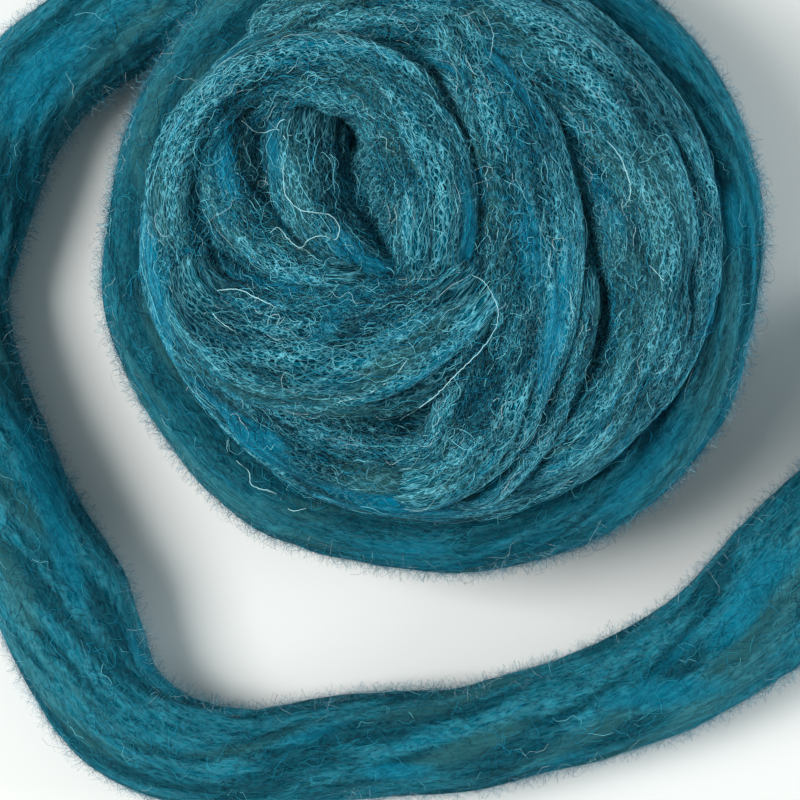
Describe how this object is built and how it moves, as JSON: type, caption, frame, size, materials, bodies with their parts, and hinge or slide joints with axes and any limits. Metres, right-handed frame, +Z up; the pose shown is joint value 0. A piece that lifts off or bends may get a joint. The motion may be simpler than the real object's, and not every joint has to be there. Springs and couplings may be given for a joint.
{
  "type": "wound ball of wool roving with a loose end",
  "caption": "Hand-wound ball of soft heathered wool roving resting on a small flat spot, its loose end lying round it and tapering to a pulled-off tip.",
  "frame": {"origin": "middle of the flat spot under the ball, on the surface that it rests on", "axes": "+Z up out of the surface, +Y towards the side where the last turn lets go, +X to the right"},
  "size_m": [0.2128, 0.1848, 0.078],
  "materials": {
    "roving": "fuzzy heathered wool",
    "loose_roving": "fuzzy heathered wool"
  },
  "bodies": {
    "root": {"ball": "roving", "tail": "loose_roving"}
  },
  "joints": []
}
